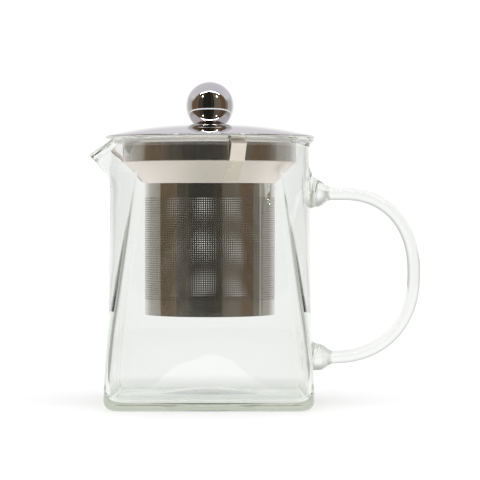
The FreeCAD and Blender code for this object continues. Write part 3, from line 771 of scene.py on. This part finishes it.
def screen_tree():
    """The rolled strainer wall: holes between two plain bands, half of the way round."""
    tree, given = strainer_tree("rolled_perforated_wall")
    tiles = add_node(tree, "GeometryNodeRealizeInstances", {"Geometry": tiled_sheet(tree, given)})
    zone = add_node(tree, "ShaderNodeMath", {
        0: given["Rows"], 1: given["Pitch along"]}, operation="MULTIPLY")
    arc = add_node(tree, "ShaderNodeMath", {
        0: given["Columns"], 1: given["Pitch across"]}, operation="MULTIPLY")
    columns = add_node(tree, "ShaderNodeMath", {0: given["Columns"], 1: 1.0}, operation="ADD")
    parts = [tiles]
    for band, sign in (("Top band", 1.0), ("Foot band", -1.0)):
        strip = add_node(tree, "GeometryNodeMeshGrid", {
            "Vertices X": columns, "Vertices Y": 3, "Size X": arc, "Size Y": given[band]})
        both = add_node(tree, "ShaderNodeMath", {0: zone, 1: given[band]}, operation="ADD")
        shift = add_node(tree, "ShaderNodeMath", {0: both, 1: sign / 2}, operation="MULTIPLY")
        place = add_node(tree, "ShaderNodeCombineXYZ", {"Y": shift})
        parts.append(add_node(tree, "GeometryNodeTransform", {"Geometry": strip, "Translation": place}))
    joined = add_node(tree, "GeometryNodeJoinGeometry", {0: parts})
    flat = add_node(tree, "GeometryNodeMergeByDistance", {"Geometry": joined, "Distance": 0.01 * MM})
    # roll the sheet: across becomes an angle, along becomes height
    axes = add_node(tree, "ShaderNodeSeparateXYZ", {
        "Vector": add_node(tree, "GeometryNodeInputPosition")}).outputs
    angle = add_node(tree, "ShaderNodeMath", {
        0: axes["X"], 1: given["Wrap radius"]}, operation="DIVIDE")
    inside = add_node(tree, "ShaderNodeMath", {
        0: given["Wrap radius"], 1: given["Sheet"]}, operation="SUBTRACT")
    forward = add_node(tree, "ShaderNodeMath", {0: inside, 1: -1.0}, operation="MULTIPLY")
    sine = add_node(tree, "ShaderNodeMath", {0: angle}, operation="SINE")
    cosine = add_node(tree, "ShaderNodeMath", {0: angle}, operation="COSINE")
    half = add_node(tree, "ShaderNodeMath", {0: zone, 1: 0.5}, operation="MULTIPLY")
    zone_foot = add_node(tree, "ShaderNodeMath", {0: given["Foot"], 1: given["Foot band"]}, operation="ADD")
    base = add_node(tree, "ShaderNodeMath", {0: zone_foot, 1: half}, operation="ADD")
    rolled = add_node(tree, "ShaderNodeCombineXYZ", {
        "X": add_node(tree, "ShaderNodeMath", {0: sine, 1: inside}, operation="MULTIPLY"),
        "Y": add_node(tree, "ShaderNodeMath", {0: cosine, 1: forward}, operation="MULTIPLY"),
        "Z": add_node(tree, "ShaderNodeMath", {0: axes["Y"], 1: base}, operation="ADD")})
    wall = add_node(tree, "GeometryNodeSetPosition", {"Geometry": flat, "Position": rolled})
    level = add_node(tree, "ShaderNodeVectorMath", {
        0: add_node(tree, "GeometryNodeInputPosition"), 1: (1, 1, 0)}, operation="MULTIPLY")
    outward = add_node(tree, "ShaderNodeVectorMath", {0: level}, operation="NORMALIZE")
    finish_tree(tree, given, wall, outward)
    return tree


def floor_tree():
    """The strainer's floor: a disc of whole tiles, to be framed by a plain rim."""
    tree, given = strainer_tree("perforated_floor_disc")
    tiles = tiled_sheet(tree, given)
    out = add_node(tree, "ShaderNodeVectorMath", {
        0: add_node(tree, "GeometryNodeInputPosition")}, operation="LENGTH")
    corner = add_node(tree, "ShaderNodeMath", {
        0: given["Pitch across"], 1: math.sqrt(0.5)}, operation="MULTIPLY")
    limit = add_node(tree, "ShaderNodeMath", {0: given["Disc radius"], 1: corner}, operation="SUBTRACT")
    outside = add_node(tree, "FunctionNodeCompare", {0: out, 1: limit},
                       data_type="FLOAT", operation="GREATER_THAN")
    kept = add_node(tree, "GeometryNodeDeleteGeometry", {
        "Geometry": tiles, "Selection": outside}, domain="INSTANCE")
    real = add_node(tree, "GeometryNodeRealizeInstances", {"Geometry": kept})
    flat = add_node(tree, "GeometryNodeMergeByDistance", {"Geometry": real, "Distance": 0.01 * MM})
    lift = add_node(tree, "ShaderNodeCombineXYZ", {"Z": given["Foot"]})
    placed = add_node(tree, "GeometryNodeTransform", {"Geometry": flat, "Translation": lift})
    finish_tree(tree, given, placed, (0, 0, 1))
    return tree


def grown_mesh(name, tree, values):
    """Run a tree on an empty object and give its result as a plain mesh."""
    holder = add_object(name, bpy.data.meshes.new(name))
    modifier = holder.modifiers.new(name, "NODES")
    modifier.node_group = tree
    for label, value in values.items():
        socket_value(modifier, label, value)
    graph = bpy.context.evaluated_depsgraph_get()
    mesh = bpy.data.meshes.new_from_object(holder.evaluated_get(graph))
    bpy.data.objects.remove(holder)
    if len(mesh.polygons) == 0:
        raise TeapotError(f"the tree for {name} made nothing")
    mesh.name = name
    return mesh


def build_basket():
    """Perforated wall in two rolled halves and a perforated floor in a plain rim."""
    infuser = bpy.context.scene.teapot_infuser
    sheet = infuser.screen_sheet
    # rolled from bright strip: nearly a mirror, so the room's bands stay crisp between the holes
    steel = bright_steel("bright_perforated_stainless", infuser.steel, 0.05, 0.03)
    pitch = 2 * math.pi * BASKET_RADIUS / infuser.columns
    zone = BASKET_TOP - BASKET_FOOT - infuser.top_band - infuser.foot_band
    rows = round(zone / pitch)
    values = {
        "Columns": infuser.columns // 2, "Rows": rows, "Pitch across": pitch,
        "Pitch along": zone / rows, "Hole radius": infuser.hole / 2, "Wrap radius": BASKET_RADIUS,
        "Foot": BASKET_FOOT, "Top band": infuser.top_band, "Foot band": infuser.foot_band,
        "Disc radius": 0.0, "Sheet": sheet, "Steel": steel,
    }
    tree = screen_tree()
    for name, turn in (("basket_wall_front", 0.0), ("basket_wall_back", math.pi)):
        mesh = grown_mesh(name, tree, values)
        cosine, sine = math.cos(turn), math.sin(turn)
        for vertex in mesh.vertices:
            x, y, z = vertex.co
            vertex.co = (x * cosine - y * sine, x * sine + y * cosine, z)
        crease(mesh, 35)
        new_piece(name, mesh, steel, "infuser", ["basket_screen"])
    disc = BASKET_RADIUS - sheet
    across = 2 * math.ceil(disc / pitch)
    # the tiles are a hair thinner than the rim, so that no two faces lie in one plane
    hair = 0.02 * MM
    values.update({
        "Columns": across, "Rows": across, "Pitch along": pitch, "Disc radius": disc - 0.1 * MM,
        "Foot": BASKET_FOOT + hair, "Sheet": sheet - 2 * hair})
    mesh = grown_mesh("basket_floor", floor_tree(), values)
    crease(mesh, 35)
    new_piece("basket_floor", mesh, steel, "infuser", ["basket_floor"])
    rim_width, edge = 1.7 * MM, 0.08 * MM
    outline = [(disc - rim_width, BASKET_FOOT, edge), (disc, BASKET_FOOT, edge),
               (disc, BASKET_FOOT + sheet, edge), (disc - rim_width, BASKET_FOOT + sheet, edge)]
    rim = turned_mesh("basket_floor_rim", rounded_outline(outline, 2), 96)
    new_piece("basket_floor_rim", rim, steel, "infuser", ["basket_floor"])


def strip_mesh(name, path, sheet, width, turn):
    """A bent strip: the path is its middle line as (radius, height, bend radius)."""
    places = [Vector(corner[:2]) for corner in path]
    line = [places[0]]
    for index in range(1, len(path) - 1):
        arc = bend_arc(places[index - 1], places[index], places[index + 1], path[index][2], 8)
        line += [point for point, _ in arc]
    line.append(places[-1])
    ease = sheet * 0.3
    half, thick = width / 2, sheet / 2
    section = [(-half + ease, -thick), (half - ease, -thick), (half, -thick + ease), (half, thick - ease),
               (half - ease, thick), (-half + ease, thick), (-half, thick - ease), (-half, -thick + ease)]
    rows = []
    for index, point in enumerate(line):
        ahead = line[min(index + 1, len(line) - 1)] - line[max(index - 1, 0)]
        ahead.normalize()
        out = Vector((ahead.y, -ahead.x))
        ring = []
        for across, lift in section:
            radius, height = point + out * lift
            ring.append((radius * math.cos(turn) - across * math.sin(turn),
                         radius * math.sin(turn) + across * math.cos(turn), height))
        rows.append(ring)
    ends = [[tuple(sum((Vector(place) for place in row), Vector()) / len(section))]
            for row in (rows[0], rows[-1])]
    mesh = grid_mesh(name, [ends[0], *rows, ends[1]])
    crease(mesh, 30)
    return mesh


def build_clips():
    """Three spring clips: two pressed against the neck, and a relaxed one in the mouth of the spout."""
    infuser, jug = bpy.context.scene.teapot_infuser, bpy.context.scene.teapot_jug
    # cold-rolled spring strip: pale, with a soft sheen instead of a mirror image
    steel = bright_steel("rolled_spring_steel", linear("#F2E6DB"), 0.26, 0.06)
    sheet = infuser.clip_sheet
    foot = RIM_TOP - infuser.collar_depth
    neck = RIM_RADIUS - jug.rim_flare - jug.wall
    out = infuser.collar_radius
    # how far the strip's middle line lies off the funnel that it is welded to
    lie = sheet * 0.62
    front_turn, third_turn = -72, 120
    pressed = (neck - 0.35 * MM, RIM_TOP - 2.8 * MM)
    relaxed = (neck + 2.3 * MM, RIM_TOP - 5.6 * MM)
    clips = (("spring_clip_front", pressed), ("spring_clip_back", pressed), ("spring_clip_spout", relaxed))
    for index, (name, (apex, height)) in enumerate(clips):
        # up the funnel from its welded foot, out to the apex and back in to its free end
        path = [
            (BASKET_RADIUS + 1.2 * MM + lie, BASKET_TOP + 1.2 * MM - lie * 0.4, 0),
            (out + lie * 1.1, foot - lie * 0.3, 0.9 * MM),
            (apex - sheet * 0.6, height, 0.8 * MM),
            (out + 0.95 * MM, RIM_TOP - 0.55 * MM, 0),
        ]
        turn = math.radians(front_turn + third_turn * index)
        mesh = strip_mesh(name, path, sheet, infuser.clip_width, turn)
        new_piece(name, mesh, steel, "infuser", [name])


# ------------------------------------------------------------------ lid

def cover_outline(lid, seat):
    """The cover's section: its underside out to the edge, the rolled edge, and its outside back."""
    edge = FLANGE_TOP + lid.edge
    rise, run = COVER_TOP - edge, LID_RADIUS - seat
    ball = (run ** 2 + rise ** 2) / (2 * rise)

    def cap(radius, drop):
        """Height of the cover's outside, or of its underside with a drop, at a radius."""
        off = max(0.0, radius - seat)
        return COVER_TOP - drop - (ball - math.sqrt(ball ** 2 - off ** 2))

    hole = 2.15 * MM
    # the dome stops short of the edge, outside and underneath, to leave room for the roll
    outside_end, underside_end = LID_RADIUS - 0.9 * MM, LID_RADIUS - 1.6 * MM
    # wide bends at every stop of the dome keep it smooth
    soft = 30 * MM
    over = [(hole, COVER_TOP, 0.1 * MM)]
    under = [(hole, COVER_TOP - lid.sheet, 0.1 * MM)]
    stops = [seat + (outside_end - seat) * step / 14 for step in range(15)]
    over += [(radius, cap(radius, 0), soft) for radius in stops]
    under += [(min(radius, underside_end), cap(radius, lid.sheet), soft) for radius in stops[:-1]]
    roll = [
        (LID_RADIUS, edge - 0.15 * MM, 0.5 * MM),
        (LID_RADIUS, FLANGE_TOP, 0.25 * MM),
        (LID_RADIUS - lid.sheet, FLANGE_TOP, 0.25 * MM),
        (LID_RADIUS - lid.sheet, edge - lid.sheet * 0.9, 0.2 * MM),
    ]
    return rounded_outline(under + list(reversed(roll)) + list(reversed(over)), 3)


def knob_outline(seat):
    """The ball's section: a blind bore for the screw, then round from the seat to the top."""
    bore, bore_top = 2 * MM, COVER_TOP + 6 * MM
    slant = Vector((-0.7, -0.7))
    outline = [
        (Vector((0, bore_top)), Vector((0, -1))),
        (Vector((bore, bore_top)), slant),
        (Vector((bore, COVER_TOP)), slant),
    ]
    centre = Vector((0, KNOB_TOP - KNOB_RADIUS))
    start = math.asin(seat / KNOB_RADIUS)
    steps = 48
    for step in range(steps):
        angle = start + (math.pi - start) * step / steps
        spoke = Vector((math.sin(angle), -math.cos(angle)))
        outline.append((centre + spoke * KNOB_RADIUS, spoke))
    outline.append((Vector((0, KNOB_TOP)), Vector((0, 1))))
    return outline


def build_lid():
    """Domed cover, skirt ring and ball knob; the screw and washer beneath keep their CAD shape."""
    lid = bpy.context.scene.teapot_lid
    # polished to a mirror: the room shows almost sharply
    polished = bright_steel("mirror_polished_stainless", lid.steel, 0.035, 0.03)
    mesh = turned_mesh("lid_cover", cover_outline(lid, lid.knob_seat), 192)
    new_piece("lid_cover", mesh, polished, "lid", ["lid_cover"])

    sheet = bpy.context.scene.teapot_infuser.sheet
    skirt = [
        (SKIRT_RADIUS - sheet, SKIRT_FOOT, 0.2 * MM),
        (SKIRT_RADIUS, SKIRT_FOOT, 0.2 * MM),
        (SKIRT_RADIUS, FLANGE_TOP, 0.1 * MM),
        (LID_RADIUS - lid.sheet, FLANGE_TOP, 0.1 * MM),
        (LID_RADIUS - lid.sheet, FLANGE_TOP + sheet, 0.1 * MM),
        (SKIRT_RADIUS - sheet, FLANGE_TOP + sheet, 0.6 * MM),
    ]
    # brushed round the tube: highlights are drawn out upright
    brushed = brushed_steel("brushed_stainless_skirt", lid.steel, 0.24, 0.14, (60, 60, 2600))
    mesh = turned_mesh("lid_skirt", rounded_outline(skirt), 128)
    new_piece("lid_skirt", mesh, brushed, "lid", ["lid_ring", "lid_skirt"])

    mesh = turned_mesh("knob_ball", knob_outline(lid.knob_seat), 96)
    new_piece("knob_ball", mesh, polished, "lid", ["knob_ball"])
    # lathe-turned: a fine even grain that takes the shine off
    turned = brushed_steel("turned_screw_steel", linear("#BDBBB6"), 0.28, 0.1, (900, 900, 900))
    for name in ("knob_screw", "knob_washer"):
        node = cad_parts[name]
        node.data.materials.clear()
        node.data.materials.append(turned)


# ------------------------------------------------------------------ stage

def even_light(level):
    """Equal red, green and blue. Above 1 it is brighter than white paper."""
    return (level, level, level, 1.0)


def fill_ramp(ramp, stops):
    """Give a colour ramp its stops, as (place, colour)."""
    while len(ramp.elements) < len(stops):
        ramp.elements.new(0.5)
    for element, (place, tone) in zip(ramp.elements, stops):
        element.position = place
        element.color = linear(tone)


def steel_surround(tree, axes):
    """What steel mirrors: a dark striped room in front, pale sides and a white backdrop."""
    front = add_node(tree, "ShaderNodeMath", {0: axes["Y"], 1: -1.0}, operation="MULTIPLY")
    steep = add_node(tree, "ShaderNodeMath", {0: axes["Z"]}, operation="ABSOLUTE")
    turn = add_node(tree, "ShaderNodeMath", {0: axes["X"], 1: front}, operation="ARCTAN2")
    round_share = add_node(tree, "ShaderNodeMath", {0: turn, 1: 2 * math.pi}, operation="DIVIDE")
    share = add_node(tree, "ShaderNodeMath", {0: round_share, 1: 0.5}, operation="ADD")
    room = add_node(tree, "ShaderNodeValToRGB", {"Fac": share})
    # degrees round from straight in front, and the colour there
    stripes = (
        (-150, "#DCDBDD"), (-120, "#D0CFCF"), (-98, "#BCB7B0"), (-96, "#7A6550"), (-74, "#6B5744"),
        (-60, "#7A6450"), (-58, "#4C463D"), (-42, "#453F37"), (-40, "#6B5846"), (-37, "#3A3630"),
        (-27, "#2A2723"), (8, "#26231F"), (10, "#54463A"), (13, "#2B2824"), (21, "#35322C"),
        (23, "#6E675B"), (52, "#746C61"), (56, "#6F5846"), (82, "#6A523D"), (84, "#847C74"),
        (98, "#8E877F"), (100, "#E6E4E0"), (103, "#BDBBB8"), (120, "#C8C7C6"), (150, "#DCDBDD"),
    )
    fill_ramp(room.color_ramp, [(0.5 + degrees / 360, tone) for degrees, tone in stripes])
    # the room reaches past the sides at eye level and nearly overhead
    reach = add_node(tree, "ShaderNodeMath", {0: steep, 1: 0.42, 2: -0.16}, operation="MULTIPLY_ADD")
    inside = add_node(tree, "ShaderNodeMath", {0: front, 1: reach}, operation="SUBTRACT")
    edge = add_node(tree, "ShaderNodeMapRange", {
        "Value": inside, "From Min": -0.02, "From Max": 0.05, "To Min": 0.0, "To Max": 1.0},
        interpolation_type="SMOOTHSTEP")
    # near eye level it also takes in the sides and behind
    side = add_node(tree, "ShaderNodeMath", {0: front, 1: 0.25}, operation="LESS_THAN")
    level = add_node(tree, "ShaderNodeMapRange", {
        "Value": steep, "From Min": 0.25, "From Max": 0.45, "To Min": 1.0, "To Max": 0.0})
    sides = add_node(tree, "ShaderNodeMath", {0: side, 1: level}, operation="MULTIPLY")
    covers = add_node(tree, "ShaderNodeMath", {0: edge, 1: sides}, operation="MAXIMUM")
    sky = add_node(tree, "ShaderNodeMapRange", {
        "Value": axes["Z"], "From Min": 0.05, "From Max": 0.8, "To Min": 0.0, "To Max": 1.0})
    pale = add_node(tree, "ShaderNodeMix", {
        "Factor": sky, "A": linear("#F0EEF3"), "B": linear("#DCDAE1")}, data_type="RGBA")
    around = add_node(tree, "ShaderNodeMix", {"Factor": covers, "A": pale, "B": room}, data_type="RGBA")
    behind = add_node(tree, "ShaderNodeMapRange", {
        "Value": axes["Y"], "From Min": 0.6, "From Max": 0.9, "To Min": 0.0, "To Max": 1.0},
        interpolation_type="SMOOTHSTEP")
    low = add_node(tree, "ShaderNodeMapRange", {
        "Value": axes["Z"], "From Min": 0.14, "From Max": 0.34, "To Min": 1.0, "To Max": 0.0},
        interpolation_type="SMOOTHSTEP")
    backdrop = add_node(tree, "ShaderNodeMath", {0: behind, 1: low}, operation="MULTIPLY")
    return add_node(tree, "ShaderNodeMix", {
        "Factor": backdrop, "A": around, "B": even_light(1.02)}, data_type="RGBA")


def glass_surround(tree, axes, path):
    """What bare glass shows: white behind, and an even grey at the sides and in front."""
    facing = add_node(tree, "ShaderNodeMapRange", {"Value": axes["Y"], "From Min": -1.0})
    greys = add_node(tree, "ShaderNodeValToRGB", {"Fac": facing})
    # 0 is straight in front and 1 straight behind
    fill_ramp(greys.color_ramp, (
        (0.0, "#9FA097"), (0.16, "#A9AAA2"), (0.5, "#A6A7A1"), (0.76, "#A4A5A2"),
        (0.9, "#B4B5B3"), (0.955, "#D6D7D5"), (0.985, "#FFFFFF")))
    # light caught inside the glass has wandered, and comes out pale
    caught = add_node(tree, "ShaderNodeMath", {
        0: path["Glossy Depth"], 1: 1.5}, operation="GREATER_THAN")
    wander = add_node(tree, "ShaderNodeMath", {0: caught, 1: 0.75}, operation="MULTIPLY")
    return add_node(tree, "ShaderNodeMix", {
        "Factor": wander, "A": greys, "B": linear("#DCDDD6")}, data_type="RGBA")


def studio_world():
    """White to the eye and to soft light; a striped studio in steel, a plain one in glass."""
    world = bpy.data.worlds.new("soft_white_studio")
    world.use_nodes = True
    tree = world.node_tree
    tree.nodes.clear()
    where = add_node(tree, "ShaderNodeTexCoord")
    axes = add_node(tree, "ShaderNodeSeparateXYZ", {"Vector": where.outputs["Generated"]}).outputs
    path = add_node(tree, "ShaderNodeLightPath").outputs
    studio = steel_surround(tree, axes)
    glow = glass_surround(tree, axes, path)
    # a ray that met steel inside the jug has crossed the wall twice each way
    met_steel = add_node(tree, "ShaderNodeMath", {
        0: path["Glossy Depth"], 1: 0.5}, operation="GREATER_THAN")
    bare = add_node(tree, "ShaderNodeMath", {
        0: path["Transmission Depth"], 1: 0.5}, operation="LESS_THAN")
    walls = add_node(tree, "ShaderNodeMath", {
        0: path["Transmission Depth"], 1: 3.5}, operation="GREATER_THAN")
    either = add_node(tree, "ShaderNodeMath", {0: bare, 1: walls}, operation="MAXIMUM")
    steely = add_node(tree, "ShaderNodeMath", {0: met_steel, 1: either}, operation="MULTIPLY")
    bent = add_node(tree, "ShaderNodeMix", {"Factor": steely, "A": glow, "B": studio}, data_type="RGBA")
    diffuse = add_node(tree, "ShaderNodeMath", {
        0: path["Diffuse Depth"], 1: 0.5}, operation="GREATER_THAN")
    soft = add_node(tree, "ShaderNodeMix", {
        "Factor": diffuse, "A": bent, "B": even_light(1.06)}, data_type="RGBA")
    seen = add_node(tree, "ShaderNodeMix", {
        "Factor": path["Is Camera Ray"], "A": soft, "B": even_light(1.08)}, data_type="RGBA")
    light = add_node(tree, "ShaderNodeBackground", {"Color": seen, "Strength": 1.0})
    add_node(tree, "ShaderNodeOutputWorld", {"Surface": light})
    world.cycles.sampling_method = "NONE"
    bpy.context.scene.world = world


def build_table(radius):
    """Round white table, a hair below the jug's foot."""
    bm = bmesh.new()
    bmesh.ops.create_circle(bm, cap_ends=True, segments=128, radius=radius)
    mesh = bpy.data.meshes.new("table")
    bm.to_mesh(mesh)
    bm.free()
    table = add_object("table", mesh)
    # white laminate: an even matt white with hardly any sheen
    material, tree = new_material("white_laminate_table")
    # painted shade: seen in glass and steel the table takes a darker white than seen straight, so that it
    # is as bright as the backdrop there and no edge shows
    path = add_node(tree, "ShaderNodeLightPath")
    tone = add_node(tree, "ShaderNodeMix", {
        "Factor": path.outputs["Is Camera Ray"], "A": even_light(0.91), "B": linear("#FBFBFB")},
        data_type="RGBA")
    shader = add_node(tree, "ShaderNodeBsdfPrincipled", {
        "Base Color": tone, "Roughness": 0.6, "Specular IOR Level": 0.2})
    add_node(tree, "ShaderNodeOutputMaterial", {"Surface": shader})
    mesh.materials.append(material)
    table.location.z = -0.02 * MM


def build_lamps():
    """Two small warm lamps in front and a strip light overhead."""
    # each lamp is a disc 14 cm across, to one side and above
    distance, aside, height = 1.3, 43, math.radians(41.5)
    for side in (-1, 1):
        lamp = bpy.data.lights.new("front_lamp", "AREA")
        lamp.shape, lamp.size, lamp.energy = "DISK", 0.14, 0.5
        lamp.color = (1.0, 0.95, 0.86)
        holder = add_object("front_lamp", lamp)
        azimuth = math.radians(aside * side)
        aim = Vector((math.sin(azimuth) * math.cos(height), -math.cos(azimuth) * math.cos(height),
                      math.sin(height)))
        holder.location = aim * distance + Vector((0, 0, KNOB_TOP))
        holder.rotation_euler = aim.to_track_quat("Z", "Y").to_euler()
        # the lamps are only for glints: they neither light the table nor shine through glass
        holder.visible_diffuse = False
        holder.visible_transmission = False
    # the strip is 1.6 m long and 6 cm wide, tilted a little towards the camera
    softbox = bpy.data.lights.new("overhead_softbox", "AREA")
    softbox.shape, softbox.size, softbox.size_y, softbox.energy = "RECTANGLE", 1.6, 0.06, 3.5
    holder = add_object("overhead_softbox", softbox)
    holder.location = (0, -0.32, 1.1)
    holder.rotation_euler = (math.radians(-16), 0, 0)
    holder.visible_transmission = False


def build_camera(stage):
    """A long lens at the jug's height, looking down very slightly."""
    camera = bpy.data.cameras.new("camera")
    camera.lens, camera.sensor_width = stage.lens, 36.0
    camera.clip_start, camera.clip_end = 0.01, 20.0
    holder = add_object("camera", camera)
    holder.location = (stage.side, -stage.distance, stage.height)
    holder.rotation_euler = (math.pi / 2 - stage.pitch, 0, 0)
    bpy.context.scene.camera = holder


def build_stage():
    """The table, the white surroundings, the lights and the camera."""
    stage = bpy.context.scene.teapot_stage
    build_table(stage.table_radius)
    studio_world()
    build_lamps()
    build_camera(stage)
    bpy.context.scene.view_settings.view_transform = "Standard"


# ------------------------------------------------------------------ add-on

class TEAPOT_OT_glass(bpy.types.Operator):
    """Blow the jug and draw its handle"""
    bl_idname = "teapot.glass"
    bl_label = "Glass jug"

    def execute(self, context):
        build_glass()
        return {"FINISHED"}


class TEAPOT_OT_collar(bpy.types.Operator):
    """Draw the infuser's flange, collar and funnel"""
    bl_idname = "teapot.collar"
    bl_label = "Infuser collar"

    def execute(self, context):
        build_collar()
        return {"FINISHED"}


class TEAPOT_OT_basket(bpy.types.Operator):
    """Roll the perforated strainer and its floor"""
    bl_idname = "teapot.basket"
    bl_label = "Strainer basket"

    def execute(self, context):
        build_basket()
        return {"FINISHED"}


class TEAPOT_OT_clips(bpy.types.Operator):
    """Bend the three spring clips"""
    bl_idname = "teapot.clips"
    bl_label = "Spring clips"

    def execute(self, context):
        build_clips()
        return {"FINISHED"}


class TEAPOT_OT_lid(bpy.types.Operator):
    """Press the lid's cover and skirt and turn its knob"""
    bl_idname = "teapot.lid"
    bl_label = "Lid and knob"

    def execute(self, context):
        build_lid()
        return {"FINISHED"}


class TEAPOT_OT_stage(bpy.types.Operator):
    """Set the table, the light and the camera"""
    bl_idname = "teapot.stage"
    bl_label = "Stage"

    def execute(self, context):
        build_stage()
        return {"FINISHED"}


OPERATORS = (TEAPOT_OT_glass, TEAPOT_OT_collar, TEAPOT_OT_basket, TEAPOT_OT_clips,
             TEAPOT_OT_lid, TEAPOT_OT_stage)
SETTINGS = {
    "teapot_jug": JugSettings,
    "teapot_infuser": InfuserSettings,
    "teapot_lid": LidSettings,
    "teapot_stage": StageSettings,
}


class TEAPOT_PT_panel(bpy.types.Panel):
    """Lists the settings and the operators in the order they run"""
    bl_idname = "TEAPOT_PT_panel"
    bl_label = "Glass Teapot"
    bl_space_type = "VIEW_3D"
    bl_region_type = "UI"
    bl_category = "Teapot"

    def draw(self, context):
        for operator in OPERATORS:
            self.layout.operator(operator.bl_idname)
        for name, group in SETTINGS.items():
            box = self.layout.box()
            for setting in group.__annotations__:
                box.prop(getattr(context.scene, name), setting)


CLASSES = (*SETTINGS.values(), *OPERATORS, TEAPOT_PT_panel)


def register():
    """Add the settings, the operators and the panel to Blender."""
    for item in CLASSES:
        bpy.utils.register_class(item)
    for name, group in SETTINGS.items():
        setattr(bpy.types.Scene, name, PointerProperty(type=group))


def unregister():
    """Take out what register added."""
    for name in SETTINGS:
        delattr(bpy.types.Scene, name)
    for item in reversed(CLASSES):
        bpy.utils.unregister_class(item)


def main():
    """Run the operators in order."""
    register()
    bpy.ops.teapot.glass()
    bpy.ops.teapot.collar()
    bpy.ops.teapot.basket()
    bpy.ops.teapot.clips()
    bpy.ops.teapot.lid()
    bpy.ops.teapot.stage()


if __name__ == "__main__":
    main()
